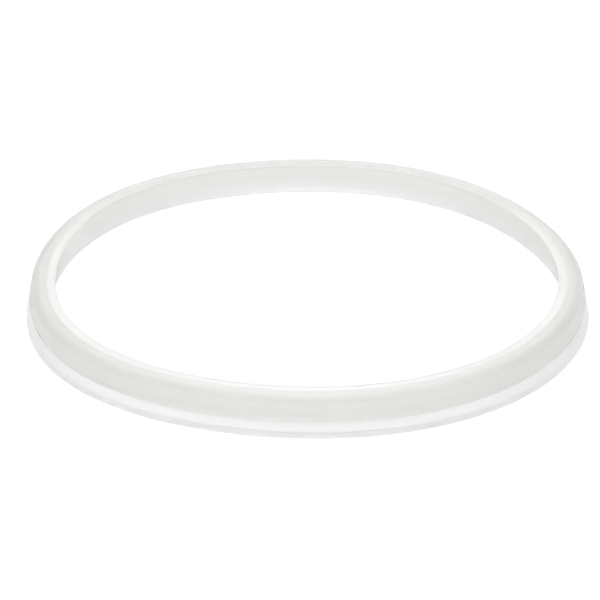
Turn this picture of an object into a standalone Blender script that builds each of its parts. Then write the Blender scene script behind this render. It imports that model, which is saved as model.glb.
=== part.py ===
"""Sealing ring of a stovetop pressure cooker: one moulded ring of milky silicone, lying lips down.

The ring is turned about Z from one section. The origin is the centre of the face it lies on, +Z is up,
and the units are metres. The section is a cup seal: a solid domed body with a flat sealing land on top,
and two thin lips below it, an outer skirt on a wide flat rim and a shorter inner lip, with an open
channel between them.
"""

import math

import bmesh
import bpy
from mathutils import Vector

# Driving dimensions
OUTER_RADIUS = 0.1200  # the rim of the skirt, which the ring lies on
HEIGHT = 0.0164  # from the foot of the skirt to the sealing land
BORE_RADIUS = 0.1074  # the inner edge of the land, the narrowest place of the ring
LAND_WIDTH = 0.0037
LAND_STEP = 0.00015  # how far the land stands above the dome
DOME_RADIUS = 0.0051
LIP_THICKNESS = 0.0015  # the skirt
INNER_LIP_THICKNESS = 0.0018
RIM_HEIGHT = 0.0026
RIM_WIDTH = 0.0039  # the flat foot under the rim
RIM_INNER_HEIGHT = 0.0008  # the rim's step up into the channel
SKIRT_HEIGHT = 0.0061  # where the skirt meets the body
SKIRT_LEAN = 0.0017  # how far the skirt flares out between the body and the rim
INNER_LIP_GAP = 0.0014  # the inner lip ends this far above the foot
CHANNEL_OUTER_ROOF = 0.0056  # the roof of the channel behind the skirt
CHANNEL_INNER_ROOF = 0.00835  # the roof of the channel behind the inner lip

# Places along the outer wall, the inner wall and the channel that follow from them
DOME_EDGE_RADIUS = OUTER_RADIUS - 0.0037
SHOULDER_RADIUS = OUTER_RADIUS - 0.00216
SHOULDER_HEIGHT = 0.01418  # the dome ends here and the outer wall begins
WALL_RADIUS = OUTER_RADIUS - 0.0010
WALL_CREASE_HEIGHT = SKIRT_HEIGHT + 0.0026
SKIRT_TOP_RADIUS = OUTER_RADIUS - SKIRT_LEAN
INNER_CREASE_RADIUS = BORE_RADIUS + 0.0012
INNER_CREASE_HEIGHT = 0.0088
INNER_FOOT_RADIUS = BORE_RADIUS + 0.0034
RIM_NECK_RADIUS = OUTER_RADIUS - LIP_THICKNESS - 0.00005
RIM_NECK_HEIGHT = RIM_HEIGHT - 0.00065
CHANNEL_INNER_RADIUS = INNER_CREASE_RADIUS + INNER_LIP_THICKNESS + 0.0002
CHANNEL_OUTER_RADIUS = SKIRT_TOP_RADIUS - LIP_THICKNESS - 0.0004

# Edge roundings
RIM_ROUND = 0.0003
LIP_ROUND = 0.0006
LAND_ROUND = 0.0003
CHANNEL_OUTER_ROUND = 0.0004
CHANNEL_INNER_ROUND = 0.0003

TURN_STEPS = 96
SHARP_EDGE = math.radians(28)
SILICONE_COLOUR = (0.80, 0.81, 0.78, 1.0)


def clear_scene():
    for existing in list(bpy.data.objects):
        bpy.data.objects.remove(existing, do_unlink=True)


def rounded_loop(corners):
    """The points of a closed outline of corners (radius, height, rounding, arc pieces), with each rounded
    corner as an arc that touches both of its sides."""
    points = []
    for index, (radius, height, rounding, pieces) in enumerate(corners):
        corner = Vector((radius, height))
        if rounding == 0:
            points.append(corner)
            continue
        before = (Vector(corners[index - 1][:2]) - corner).normalized()
        after = (Vector(corners[(index + 1) % len(corners)][:2]) - corner).normalized()
        half_angle = before.angle(after) / 2
        centre = corner + (before + after).normalized() * rounding / math.sin(half_angle)
        start = corner + before * rounding / math.tan(half_angle) - centre
        end = corner + after * rounding / math.tan(half_angle) - centre
        sweep = start.angle_signed(end)
        for step in range(pieces + 1):
            turn = -sweep * step / pieces
            cos_turn, sin_turn = math.cos(turn), math.sin(turn)
            points.append(
                centre
                + Vector((start.x * cos_turn - start.y * sin_turn, start.x * sin_turn + start.y * cos_turn))
            )
    return points


def section_corners():
    """The section's corners, down the outer side, through the channel and up the inner side."""
    dome_top = HEIGHT - LAND_STEP
    return [
        # dome, shoulder, outer wall and skirt
        (BORE_RADIUS + LAND_WIDTH, dome_top, 0, 0),
        (DOME_EDGE_RADIUS, dome_top, DOME_RADIUS, 6),
        (SHOULDER_RADIUS, SHOULDER_HEIGHT, 0, 0),
        (WALL_RADIUS, WALL_CREASE_HEIGHT, 0, 0),
        (SKIRT_TOP_RADIUS, SKIRT_HEIGHT, 0, 0),
        # rim
        (OUTER_RADIUS, RIM_HEIGHT, RIM_ROUND, 1),
        (OUTER_RADIUS, 0.0, RIM_ROUND, 2),
        (OUTER_RADIUS - RIM_WIDTH, 0.0, RIM_ROUND, 1),
        (OUTER_RADIUS - RIM_WIDTH, RIM_INNER_HEIGHT, 0, 0),
        (RIM_NECK_RADIUS, RIM_NECK_HEIGHT, 0, 0),
        # channel
        (CHANNEL_OUTER_RADIUS, CHANNEL_OUTER_ROOF, CHANNEL_OUTER_ROUND, 2),
        (CHANNEL_INNER_RADIUS, CHANNEL_INNER_ROOF, CHANNEL_INNER_ROUND, 2),
        (INNER_FOOT_RADIUS + INNER_LIP_THICKNESS, INNER_LIP_GAP, LIP_ROUND, 2),
        # inner lip, inner wall and land
        (INNER_FOOT_RADIUS, INNER_LIP_GAP, LIP_ROUND, 2),
        (INNER_CREASE_RADIUS, INNER_CREASE_HEIGHT, 0, 0),
        (BORE_RADIUS, HEIGHT, LAND_ROUND, 2),
        (BORE_RADIUS + LAND_WIDTH, HEIGHT, 0, 0),
    ]


def silicone():
    material = bpy.data.materials.new("milky_silicone")
    material.use_nodes = True
    shader = material.node_tree.nodes["Principled BSDF"]
    shader.inputs["Base Color"].default_value = SILICONE_COLOUR
    shader.inputs["Roughness"].default_value = 0.38
    shader.inputs["Metallic"].default_value = 0.0
    shader.inputs["IOR"].default_value = 1.41
    return material


def section_object(name):
    """The section as a closed loop of edges in the XZ plane."""
    outline = bmesh.new()
    verts = [outline.verts.new((point.x, 0.0, point.y)) for point in rounded_loop(section_corners())]
    for index, vert in enumerate(verts):
        outline.edges.new((vert, verts[(index + 1) % len(verts)]))
    mesh = bpy.data.meshes.new(name)
    outline.to_mesh(mesh)
    outline.free()
    return bpy.data.objects.new(name, mesh)


def turned(section, name):
    """A new object with the section turned once about Z, smooth apart from its real edges."""
    screw = section.modifiers.new("turn", "SCREW")
    screw.axis = "Z"
    screw.angle = math.tau
    screw.steps = TURN_STEPS
    screw.render_steps = TURN_STEPS
    screw.use_merge_vertices = True
    screw.merge_threshold = 0.00001
    bpy.context.view_layer.update()
    evaluated = section.evaluated_get(bpy.context.evaluated_depsgraph_get())
    mesh = bpy.data.meshes.new_from_object(evaluated)
    mesh.name = name
    mesh.shade_smooth()
    mesh.set_sharp_from_angle(angle=SHARP_EDGE)
    bpy.data.objects.remove(section, do_unlink=True)
    return bpy.data.objects.new(name, mesh)


def main():
    clear_scene()
    collection = bpy.data.collections.new("pressure_cooker_sealing_ring")
    bpy.context.scene.collection.children.link(collection)
    section = section_object("section")
    collection.objects.link(section)
    ring = turned(section, "sealing_ring")
    ring.data.materials.append(silicone())
    collection.objects.link(ring)


main()
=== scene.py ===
"""Looks for the pressure cooker sealing ring: one soft ring of milky silicone on a white table."""

import math

import bpy
import numpy as np
from mathutils import Matrix, Vector


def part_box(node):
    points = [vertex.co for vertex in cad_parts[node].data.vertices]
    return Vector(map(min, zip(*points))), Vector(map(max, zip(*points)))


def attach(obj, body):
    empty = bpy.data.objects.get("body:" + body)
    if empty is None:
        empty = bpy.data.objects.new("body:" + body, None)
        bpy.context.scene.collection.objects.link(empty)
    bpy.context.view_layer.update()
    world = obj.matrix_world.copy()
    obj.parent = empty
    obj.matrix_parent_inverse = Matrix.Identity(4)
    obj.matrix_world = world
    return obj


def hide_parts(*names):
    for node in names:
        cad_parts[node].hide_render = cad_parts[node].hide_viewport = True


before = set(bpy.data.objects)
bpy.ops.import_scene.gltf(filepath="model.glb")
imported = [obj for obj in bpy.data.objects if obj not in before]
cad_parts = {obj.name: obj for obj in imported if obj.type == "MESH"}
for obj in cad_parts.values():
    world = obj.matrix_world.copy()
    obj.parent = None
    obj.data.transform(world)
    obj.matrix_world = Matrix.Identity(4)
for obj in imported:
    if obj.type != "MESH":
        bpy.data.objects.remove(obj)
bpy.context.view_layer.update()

# The ring's place and main sizes come from its CAD solid.
LOW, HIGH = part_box("sealing_ring")
OUTER_RADIUS = (HIGH.x - LOW.x) / 2
FOOT = LOW.z
HEIGHT = HIGH.z - LOW.z
MM = 0.001

# Section, in metres: radii are measured from the ring's axis, heights up from its foot.
BORE_RADIUS = OUTER_RADIUS - 12.6 * MM
LAND_WIDTH = 3.7 * MM
LAND_STEP = 0.15 * MM  # how far the land stands above the dome
LAND_SKIN = 0.12 * MM  # the faces within this depth of the top are polished
GROOVE_RADIUS = BORE_RADIUS + 1.0 * MM  # a fine line round the land: a groove only 0.02 mm deep, darkened with painted shade
GROOVE_WIDTH = 0.8 * MM
GROOVE_DEPTH = 0.02 * MM
DOME_RADIUS = 5.1 * MM
DOME_EDGE_RADIUS = OUTER_RADIUS - 3.7 * MM
SHOULDER_RADIUS = OUTER_RADIUS - 2.16 * MM
SHOULDER = 14.18 * MM
WALL_RADIUS = OUTER_RADIUS - 1.0 * MM
WALL_CREASE = 8.7 * MM
SKIRT_TOP_RADIUS = OUTER_RADIUS - 1.7 * MM
SKIRT_HEIGHT = 6.1 * MM
LIP_THICKNESS = 1.5 * MM
RIM_HEIGHT = 2.6 * MM
RIM_WIDTH = 3.9 * MM
RIM_INNER_HEIGHT = 0.8 * MM
RIM_NECK_RADIUS = OUTER_RADIUS - LIP_THICKNESS - 0.05 * MM
RIM_NECK_HEIGHT = RIM_HEIGHT - 0.65 * MM
INNER_LIP_THICKNESS = 1.8 * MM
INNER_LIP_GAP = 1.4 * MM
INNER_FOOT_RADIUS = BORE_RADIUS + 3.4 * MM
INNER_CREASE_RADIUS = BORE_RADIUS + 1.2 * MM
INNER_CREASE = 8.8 * MM
CHANNEL_INNER_RADIUS = INNER_CREASE_RADIUS + INNER_LIP_THICKNESS + 0.2 * MM
CHANNEL_OUTER_RADIUS = SKIRT_TOP_RADIUS - LIP_THICKNESS - 0.4 * MM
CHANNEL_MIDDLE = (CHANNEL_INNER_RADIUS + CHANNEL_OUTER_RADIUS) / 2
CHANNEL_INNER_ROOF = 8.35 * MM
CHANNEL_OUTER_ROOF = 5.6 * MM

# Moulded lines: the parting lines' ridges, which carry painted highlights, and a line of painted shade
# under the inner edge
RIDGE_HEIGHT = 0.06 * MM  # the mould's parting lines stand this far proud
RIDGE_REACH = 0.45 * MM  # and fade into the wall over this height
OUTER_RIDGE = WALL_CREASE + 0.7 * MM
INNER_RIDGE = 12.1 * MM
EDGE_SHADE = 15.7 * MM  # a line of painted shade just under the inner edge

# Edge roundings
GROOVE_ROUND = 0.05 * MM
LINE_ROUND = 0.1 * MM  # moulded lines and the crease of the outer wall
SHOULDER_ROUND = 0.15 * MM
SKIRT_ROUND = 0.2 * MM
FOOT_ROUND = 0.25 * MM
RIM_ROUND = 0.3 * MM
LAND_ROUND = 0.3 * MM
CHANNEL_INNER_ROUND = 0.3 * MM
CHANNEL_OUTER_ROUND = 0.4 * MM
NECK_ROUND = 0.4 * MM
INNER_CREASE_ROUND = 0.4 * MM
LIP_ROUND = 0.6 * MM

TURN_STEPS = 480

# How the soft ring lies out of round: waves round the ring, their depth and the angle of their first crest.
LOBES = ((3, 0.65 * MM, -31.5), (4, 0.92 * MM, 44.8), (5, 0.43 * MM, -5.3))
SWAY = -0.4 * MM  # how far the soft body's top stands to one side of its foot
SPLAY = 0.6 * MM  # how far the thin skirt spreads at the ring's two sides

# Silicone: its tone runs from dark to light. Painted highlights and painted shade along its edges, creases
# and lines, and clouds and streaks of its own tone, change it by their tints.
SILICONE_DARK = (0.858, 0.860, 0.868, 1.0)
SILICONE_LIGHT = (0.998, 1.0, 1.0, 1.0)
MEAN_TONE = 0.838
PAINTED_LIGHT_AND_SHADE_TINT = 0.125
CLOUD_TINT = 0.15
STREAK_TINT = 0.06
CLOUDS = (160.0, 25.0, 2.0)  # noise scale across the section and along the ring, and detail
STREAKS = (1600.0, 60.0, 3.0)
GRAIN_SCALE, GRAIN_DETAIL = 2200.0, 2.0
SILICONE_IOR = 1.41
BODY_ROUGHNESS = 0.42
WEAR = 0.08  # how far the streaks change the roughness
LAND_COAT = 0.4  # how far the polished land has a glossy coat
LAND_ROUGHNESS = 0.16
RELIEF = 0.2  # strength of the satin relief, and its depth
RELIEF_DEPTH = 0.03 * MM
MILKINESS = 190.0
FORWARD_SCATTER = 0.5
ABSORPTION_COLOUR = (0.50, 0.51, 0.33, 1.0)
ABSORPTION = 11.0
SKIRT_BLOOM = 0.4  # how far stretching whitens the skin of the lips at the ring's two sides
INNER_LIP_BLOOM = 0.3

# Studio: a white table and room, whose walls give less light at the sides, the rear and the ceiling.
WHITE = (1.0, 1.0, 1.0, 1.0)
TABLE_SIZE = 12.0
TABLE_GAP = 0.05 * MM
TABLE_COLOUR = (0.05, 0.05, 0.05, 1.0)
TABLE_ROUGHNESS = 0.9
TABLE_LIGHT = 1.0
BACKDROP = 1.0  # what the camera sees past the table
FRONT_LIGHT = 1.25
REAR_LIGHT = 0.85
SIDE_SHARE = 0.66
SIDE_RANGE = (0.5, 1.0)
CEILING_SHARE = 0.7
CEILING_RANGE = (0.3, 0.9)
LIGHT_BOUNCES = 64  # light scatters many times in the cloudy silicone
TRANSMISSION_BOUNCES = 32

# Lights: name, place, aim, width and height, watts. The land mirrors the strips at the ring's two sides.
ORIGIN = (0.0, 0.0, 0.0)
SOFTBOXES = (
    ("rear_softbox", (0.0, 0.492, 0.499), ORIGIN, (0.6, 0.5), 2.1),
    ("high_softbox", (0.0, 0.25, 0.85), ORIGIN, (0.6, 0.5), 2.0),
    ("fill_softbox", (0.0, -1.0, 0.2), ORIGIN, (0.8, 0.3), 1.3),
    ("left_softbox", (-0.84, -0.60, 0.25), ORIGIN, (0.5, 0.3), 1.5),
    ("right_softbox", (0.90, -0.46, 0.25), ORIGIN, (0.5, 0.3), 0.8),
    ("left_strip", (-0.175, 0.6, 0.335), (-0.1, 0.0, 0.016), (0.08, 0.16), 0.07),
    ("right_strip", (0.175, 0.6, 0.335), (0.1, 0.0, 0.016), (0.08, 0.16), 0.07),
)

# Camera
CAMERA_LENS = 156.0
CAMERA_SENSOR = 36.0
CAMERA_REACH = 50.0
CAMERA_DISTANCE = 9.3 * OUTER_RADIUS
CAMERA_ELEVATION = math.radians(26.76)
CAMERA_ROLL = math.radians(0.19)
CAMERA_AIM = Vector((-3.08 * MM, 0.0, FOOT + 0.54 * MM))


def rounded_loop(corners):
    """The points (radius, height, mark) of a closed outline of corners (radius, height, rounding, arc
    pieces, marks). The marks say how much lighter (+) or darker (-) than the rest the silicone is painted,
    at the start and the end of the corner's arc, or one mark for both: painted highlights and painted
    shade."""
    points = []
    for index, (radius, height, rounding, pieces, *marks) in enumerate(corners):
        corner = Vector((radius, height))
        before = (Vector(corners[index - 1][:2]) - corner).normalized()
        after = (Vector(corners[(index + 1) % len(corners)][:2]) - corner).normalized()
        half_angle = before.angle(after) / 2
        centre = corner + (before + after).normalized() * rounding / math.sin(half_angle)
        start = corner + before * rounding / math.tan(half_angle) - centre
        end = corner + after * rounding / math.tan(half_angle) - centre
        sweep = start.angle_signed(end)
        for step in range(pieces + 1):
            turn = -sweep * step / pieces
            cos_turn, sin_turn = math.cos(turn), math.sin(turn)
            points.append(
                (
                    centre.x + start.x * cos_turn - start.y * sin_turn,
                    centre.y + start.x * sin_turn + start.y * cos_turn,
                    marks[0] + (marks[-1] - marks[0]) * step / pieces,
                )
            )
    return points


def outer_wall(height):
    """The radius of the outer wall at a height."""
    share = (height - WALL_CREASE) / (SHOULDER - WALL_CREASE)
    return WALL_RADIUS + (SHOULDER_RADIUS - WALL_RADIUS) * share


def inner_wall(height):
    """The radius of the upper inner wall at a height."""
    share = (HEIGHT - height) / (HEIGHT - INNER_CREASE)
    return BORE_RADIUS + (INNER_CREASE_RADIUS - BORE_RADIUS) * share


def section_points():
    """The section's points, down the outer side, through the channel and up the inner side."""
    dome_top = HEIGHT - LAND_STEP
    above_outer = OUTER_RIDGE + RIDGE_REACH
    below_inner, above_inner = INNER_RIDGE - RIDGE_REACH, INNER_RIDGE + RIDGE_REACH
    corners = [
        # dome, shoulder, outer wall with its parting line, skirt and rim
        (BORE_RADIUS + LAND_WIDTH, dome_top, LINE_ROUND, 3, 0),
        # The dome's top is painted lighter and its shoulder darker: a painted highlight fading into painted
        # shade.
        (DOME_EDGE_RADIUS, dome_top, DOME_RADIUS, 16, 0.4, -1.2),
        (SHOULDER_RADIUS, SHOULDER, SHOULDER_ROUND, 4, -1.2, 0),
        (outer_wall(above_outer), above_outer, LINE_ROUND, 3, 0),
        # a painted highlight along the outer parting line's ridge
        (outer_wall(OUTER_RIDGE) + RIDGE_HEIGHT, OUTER_RIDGE, LINE_ROUND, 3, 0.8),
        (WALL_RADIUS, WALL_CREASE, LINE_ROUND, 3, 0),
        (SKIRT_TOP_RADIUS, SKIRT_HEIGHT, SKIRT_ROUND, 4, 0),
        # the rim's outer foot is painted lighter: a painted highlight
        (OUTER_RADIUS, RIM_HEIGHT, RIM_ROUND, 4, 0, 0.8),
        (OUTER_RADIUS, 0.0, FOOT_ROUND, 5, 0.8),
        (OUTER_RADIUS - RIM_WIDTH, 0.0, RIM_ROUND, 5, 0),
        (OUTER_RADIUS - RIM_WIDTH, RIM_INNER_HEIGHT, RIM_ROUND, 5, 0),
        # channel
        (RIM_NECK_RADIUS, RIM_NECK_HEIGHT, NECK_ROUND, 4, 0),
        (CHANNEL_OUTER_RADIUS, CHANNEL_OUTER_ROOF, CHANNEL_OUTER_ROUND, 5, 0),
        (CHANNEL_INNER_RADIUS, CHANNEL_INNER_ROOF, CHANNEL_INNER_ROUND, 5, 0),
        (INNER_FOOT_RADIUS + INNER_LIP_THICKNESS, INNER_LIP_GAP, LIP_ROUND, 6, 0),
        # inner lip, inner wall with its parting line, and the land with its fine line
        (INNER_FOOT_RADIUS, INNER_LIP_GAP, LIP_ROUND, 6, 0),
        # a painted highlight along the inner crease
        (INNER_CREASE_RADIUS, INNER_CREASE, INNER_CREASE_ROUND, 4, 1, 0),
        (inner_wall(below_inner), below_inner, LINE_ROUND, 3, 0),
        # a painted highlight along the inner parting line's ridge
        (inner_wall(INNER_RIDGE) - RIDGE_HEIGHT, INNER_RIDGE, LINE_ROUND, 3, 1.5),
        (inner_wall(above_inner), above_inner, LINE_ROUND, 3, 0),
        # a line of painted shade just under the inner edge
        (inner_wall(EDGE_SHADE - RIDGE_REACH), EDGE_SHADE - RIDGE_REACH, LINE_ROUND, 2, 0),
        (inner_wall(EDGE_SHADE), EDGE_SHADE, LINE_ROUND, 2, -6),
        # painted shade along the land's inner edge and in its groove, and a painted highlight over the land
        (BORE_RADIUS, HEIGHT, LAND_ROUND, 6, -3, 0.5),
        (GROOVE_RADIUS - GROOVE_WIDTH / 2, HEIGHT, GROOVE_ROUND, 2, 0.5),
        (GROOVE_RADIUS, HEIGHT - GROOVE_DEPTH, GROOVE_ROUND, 3, -2),
        (GROOVE_RADIUS + GROOVE_WIDTH / 2, HEIGHT, GROOVE_ROUND, 2, 0.5),
        (BORE_RADIUS + LAND_WIDTH, HEIGHT, GROOVE_ROUND, 3, 0.5),
    ]
    return np.array(rounded_loop(corners))


def lay_out_of_round(turn):
    """How far the ring lies outside its true circle at each angle."""
    return sum(depth * np.cos(waves * (turn - math.radians(crest))) for waves, depth, crest in LOBES)


def ring_verts(radii, heights, turn):
    """The section's points at each angle, as the soft ring lies."""
    skirt = np.clip(1 - heights / SKIRT_HEIGHT, 0, 1) * (radii > CHANNEL_MIDDLE)
    radius = radii + lay_out_of_round(turn)[:, None] + SPLAY * np.outer(np.cos(turn) ** 2, skirt)
    x = radius * np.cos(turn)[:, None] + SWAY * heights / HEIGHT
    y = radius * np.sin(turn)[:, None]
    z = np.broadcast_to(FOOT + heights, radius.shape)
    return np.stack([x, y, z], -1).reshape(-1, 3)


def ring_faces(count):
    """The four-sided faces between each section of count points and the next, all the way round."""
    step, place = np.meshgrid(np.arange(TURN_STEPS), np.arange(count), indexing="ij")
    next_step, next_place = (step + 1) % TURN_STEPS, (place + 1) % count
    corners = ((step, place), (step, next_place), (next_step, next_place), (next_step, place))
    return np.stack([on * count + down for on, down in corners], -1).reshape(-1, 4)


def broad_normals(verts, faces):
    """A normal for each vertex that follows its broadest faces, so flats look flat up to their edges."""
    corners = verts[faces]
    across = np.cross(corners[:, 2] - corners[:, 0], corners[:, 3] - corners[:, 1])
    normals = np.zeros_like(verts)
    for corner in range(4):
        np.add.at(normals, faces[:, corner], across)
    return normals / np.linalg.norm(normals, axis=1, keepdims=True)


def add_values(mesh, name, domain, values):
    """Stores a value on each face or point, for the material to read by name."""
    attribute = mesh.attributes.new(name, "FLOAT", domain)
    attribute.data.foreach_set("value", values.ravel().astype(np.float32))


def ring_mesh(name):
    radii, heights, marks = section_points().T
    turn = np.arange(TURN_STEPS) * math.tau / TURN_STEPS
    verts, faces = ring_verts(radii, heights, turn), ring_faces(len(radii))
    mesh = bpy.data.meshes.new(name)
    mesh.from_pydata(verts.tolist(), [], faces.tolist())
    mesh.shade_smooth()
    mesh.normals_split_custom_set_from_vertices(broad_normals(verts, faces).tolist())
    on_skirt = (radii > CHANNEL_MIDDLE) & (heights < SKIRT_HEIGHT)
    on_inner_lip = (radii < CHANNEL_MIDDLE) & (heights < INNER_CREASE)
    bloom = SKIRT_BLOOM * on_skirt + INNER_LIP_BLOOM * on_inner_lip
    add_values(mesh, "polish", "FACE", np.tile(heights > HEIGHT - LAND_SKIN, TURN_STEPS))
    add_values(mesh, "painted_light_and_shade", "POINT", np.tile(marks, TURN_STEPS))
    add_values(mesh, "bloom", "POINT", np.outer(np.cos(turn) ** 2, bloom))
    mesh.update()
    return mesh


def feed(tree, socket, value):
    """Gives a node's input a number or another node's output."""
    if isinstance(value, (int, float)):
        socket.default_value = value
    else:
        tree.links.new(value, socket)


def link_math(tree, operation, *values):
    """The output of a Math node."""
    node = tree.nodes.new("ShaderNodeMath")
    node.operation = operation
    for socket, value in zip(node.inputs, values):
        feed(tree, socket, value)
    return node.outputs[0]


def map_range(tree, value, source, target):
    """The output of a Map Range node from one pair of ends to another."""
    node = tree.nodes.new("ShaderNodeMapRange")
    names = ("Value", "From Min", "From Max", "To Min", "To Max")
    for name, each in zip(names, (value, *source, *target)):
        feed(tree, node.inputs[name], each)
    return node.outputs["Result"]


def split_place(tree, coordinates):
    """The x, y and z outputs of one of a Texture Coordinate node's places."""
    place = tree.nodes.new("ShaderNodeTexCoord")
    parts = tree.nodes.new("ShaderNodeSeparateXYZ")
    tree.links.new(place.outputs[coordinates], parts.inputs[0])
    return parts.outputs


def mesh_value(tree, name):
    """The output of the values that add_values stored."""
    node = tree.nodes.new("ShaderNodeAttribute")
    node.attribute_name = name
    return node.outputs["Fac"]


def round_noise(tree, fine, around, detail):
    """Noise that is drawn out round the ring: fine across the section, long along it."""
    x, y, z = split_place(tree, "Object")
    squares = [link_math(tree, "MULTIPLY", side, side) for side in (x, y)]
    radius = link_math(tree, "SQRT", link_math(tree, "ADD", *squares))
    where = tree.nodes.new("ShaderNodeCombineXYZ")
    for socket, (value, scale) in zip(where.inputs, ((radius, fine), (z, fine), (x, around))):
        tree.links.new(link_math(tree, "MULTIPLY", value, scale), socket)
    noise = tree.nodes.new("ShaderNodeTexNoise")
    noise.noise_dimensions = "4D"
    noise.inputs["Scale"].default_value = 1.0
    noise.inputs["Detail"].default_value = detail
    tree.links.new(where.outputs[0], noise.inputs["Vector"])
    tree.links.new(link_math(tree, "MULTIPLY", y, around), noise.inputs["W"])
    return noise.outputs["Fac"]


def grain_noise(tree):
    """Fine even noise, as the mould's satin finish leaves."""
    place = tree.nodes.new("ShaderNodeTexCoord")
    grain = tree.nodes.new("ShaderNodeTexNoise")
    grain.inputs["Scale"].default_value = GRAIN_SCALE
    grain.inputs["Detail"].default_value = GRAIN_DETAIL
    tree.links.new(place.outputs["Object"], grain.inputs["Vector"])
    return grain.outputs["Fac"]


def swing(tree, pattern, depth):
    """Noise about 0.5 as a change about 0."""
    return link_math(tree, "MULTIPLY", link_math(tree, "SUBTRACT", pattern, 0.5), depth)


def silicone_skin(tree):
    """Clear and satin from the mould, with a polished land and lips that stretching has whitened."""
    shader = tree.nodes["Principled BSDF"]
    clouds, streaks = round_noise(tree, *CLOUDS), round_noise(tree, *STREAKS)
    polish = mesh_value(tree, "polish")

    # Painted highlights and painted shade from the section's marks, then clouds and streaks of the
    # silicone's own tone.
    tint = link_math(tree, "MULTIPLY", mesh_value(tree, "painted_light_and_shade"), PAINTED_LIGHT_AND_SHADE_TINT)
    for pattern, depth in ((clouds, CLOUD_TINT), (streaks, STREAK_TINT)):
        tint = link_math(tree, "ADD", tint, swing(tree, pattern, depth))
    tone = tree.nodes.new("ShaderNodeValToRGB")
    tone.color_ramp.elements[0].color = SILICONE_DARK
    tone.color_ramp.elements[1].color = SILICONE_LIGHT
    tree.links.new(link_math(tree, "ADD", tint, MEAN_TONE), tone.inputs["Fac"])
    tree.links.new(tone.outputs["Color"], shader.inputs["Base Color"])

    bump = tree.nodes.new("ShaderNodeBump")
    unpolished = link_math(tree, "SUBTRACT", 1.0, polish)
    tree.links.new(link_math(tree, "MULTIPLY", unpolished, RELIEF), bump.inputs["Strength"])
    bump.inputs["Distance"].default_value = RELIEF_DEPTH
    tree.links.new(link_math(tree, "ADD", grain_noise(tree), streaks), bump.inputs["Height"])
    tree.links.new(bump.outputs["Normal"], shader.inputs["Normal"])

    roughness = link_math(tree, "ADD", swing(tree, streaks, WEAR), BODY_ROUGHNESS)
    tree.links.new(roughness, shader.inputs["Roughness"])
    tree.links.new(link_math(tree, "MULTIPLY", polish, LAND_COAT), shader.inputs["Coat Weight"])
    shader.inputs["Coat Roughness"].default_value = LAND_ROUGHNESS
    shader.inputs["Coat IOR"].default_value = SILICONE_IOR
    shader.inputs["IOR"].default_value = SILICONE_IOR
    clear = link_math(tree, "SUBTRACT", 1.0, mesh_value(tree, "bloom"))
    tree.links.new(clear, shader.inputs["Transmission Weight"])


def silicone_inside(tree):
    """Cloudy: it scatters light, mostly forwards, and absorbs a little of it."""
    absorb = tree.nodes.new("ShaderNodeVolumeAbsorption")
    absorb.inputs["Color"].default_value = ABSORPTION_COLOUR
    absorb.inputs["Density"].default_value = ABSORPTION
    scatter = tree.nodes.new("ShaderNodeVolumeScatter")
    scatter.inputs["Color"].default_value = WHITE
    scatter.inputs["Density"].default_value = MILKINESS
    scatter.inputs["Anisotropy"].default_value = FORWARD_SCATTER
    milk = tree.nodes.new("ShaderNodeAddShader")
    tree.links.new(absorb.outputs[0], milk.inputs[0])
    tree.links.new(scatter.outputs[0], milk.inputs[1])
    tree.links.new(milk.outputs[0], tree.nodes["Material Output"].inputs["Volume"])


def silicone():
    material = bpy.data.materials.new("milky_silicone")
    material.use_nodes = True
    silicone_skin(material.node_tree)
    silicone_inside(material.node_tree)
    return material


def white_table():
    material = bpy.data.materials.new("white_table")
    material.use_nodes = True
    shader = material.node_tree.nodes["Principled BSDF"]
    shader.inputs["Base Color"].default_value = TABLE_COLOUR
    shader.inputs["Roughness"].default_value = TABLE_ROUGHNESS
    shader.inputs["Specular IOR Level"].default_value = 0.0
    shader.inputs["Emission Color"].default_value = WHITE
    shader.inputs["Emission Strength"].default_value = TABLE_LIGHT
    return material


def add_ring():
    ring = bpy.data.objects.new("silicone_ring", ring_mesh("silicone_ring"))
    bpy.context.scene.collection.objects.link(ring)
    ring.data.materials.append(silicone())
    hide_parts("sealing_ring")
    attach(ring, "root")


def add_floor():
    bpy.ops.mesh.primitive_plane_add(size=TABLE_SIZE, location=(0.0, 0.0, FOOT - TABLE_GAP))
    floor = bpy.context.object
    floor.name = "floor"
    floor.data.materials.append(white_table())


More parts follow.
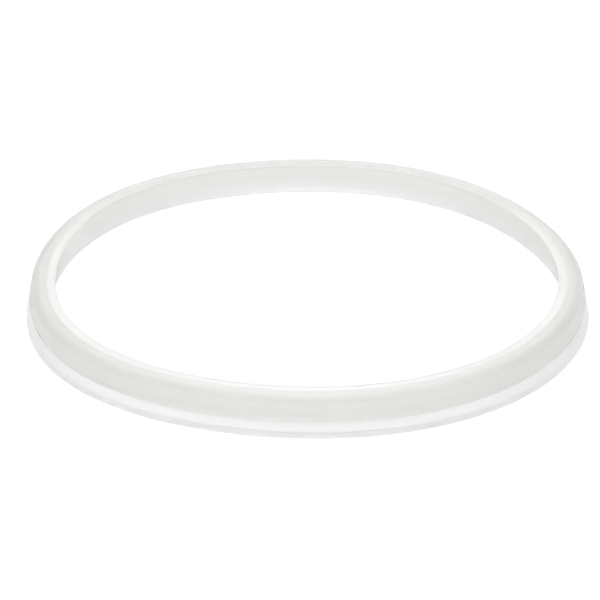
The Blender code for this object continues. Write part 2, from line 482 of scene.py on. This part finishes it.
def add_world():
    """The room's light from each direction, behind a plain white that only the camera sees."""
    world = bpy.data.worlds.new("studio")
    world.use_nodes = True
    tree = world.node_tree
    x, y, z = split_place(tree, "Generated")
    sides = map_range(tree, link_math(tree, "ABSOLUTE", x), SIDE_RANGE, (1.0, SIDE_SHARE))
    depth = map_range(tree, y, (-1.0, 1.0), (FRONT_LIGHT, REAR_LIGHT))
    ceiling = map_range(tree, z, CEILING_RANGE, (1.0, CEILING_SHARE))
    room = link_math(tree, "MULTIPLY", link_math(tree, "MULTIPLY", sides, depth), ceiling)
    path = tree.nodes.new("ShaderNodeLightPath")
    seen = map_range(tree, path.outputs["Is Camera Ray"], (0.0, 1.0), (room, BACKDROP))
    tree.nodes["Background"].inputs["Color"].default_value = WHITE
    tree.links.new(seen, tree.nodes["Background"].inputs["Strength"])
    bpy.context.scene.world = world


def add_softbox(name, place, aim, size, watts):
    light = bpy.data.lights.new(name, "AREA")
    light.shape = "RECTANGLE"
    light.size, light.size_y = size
    light.energy = watts
    box = bpy.data.objects.new(name, light)
    bpy.context.scene.collection.objects.link(box)
    box.location = place
    box.rotation_euler = (Vector(aim) - Vector(place)).to_track_quat("-Z", "Y").to_euler()


def add_camera():
    view = Vector((0.0, math.cos(CAMERA_ELEVATION), -math.sin(CAMERA_ELEVATION)))
    up = Vector((0.0, math.sin(CAMERA_ELEVATION), math.cos(CAMERA_ELEVATION)))
    side = Vector((1.0, 0.0, 0.0))
    right = side * math.cos(CAMERA_ROLL) + up * math.sin(CAMERA_ROLL)
    above = up * math.cos(CAMERA_ROLL) - side * math.sin(CAMERA_ROLL)
    data = bpy.data.cameras.new("camera")
    data.lens = CAMERA_LENS
    data.sensor_width = CAMERA_SENSOR
    data.clip_end = CAMERA_REACH
    camera = bpy.data.objects.new("camera", data)
    bpy.context.scene.collection.objects.link(camera)
    turned = Matrix((right, above, -view)).transposed().to_4x4()
    camera.matrix_world = Matrix.Translation(CAMERA_AIM - view * CAMERA_DISTANCE) @ turned
    bpy.context.scene.camera = camera


def main():
    scene = bpy.context.scene
    scene.view_settings.view_transform = "Standard"
    scene.cycles.max_bounces = LIGHT_BOUNCES
    scene.cycles.volume_bounces = LIGHT_BOUNCES
    scene.cycles.transmission_bounces = TRANSMISSION_BOUNCES
    add_camera()
    add_world()
    add_floor()
    for softbox in SOFTBOXES:
        add_softbox(*softbox)
    add_ring()


main()
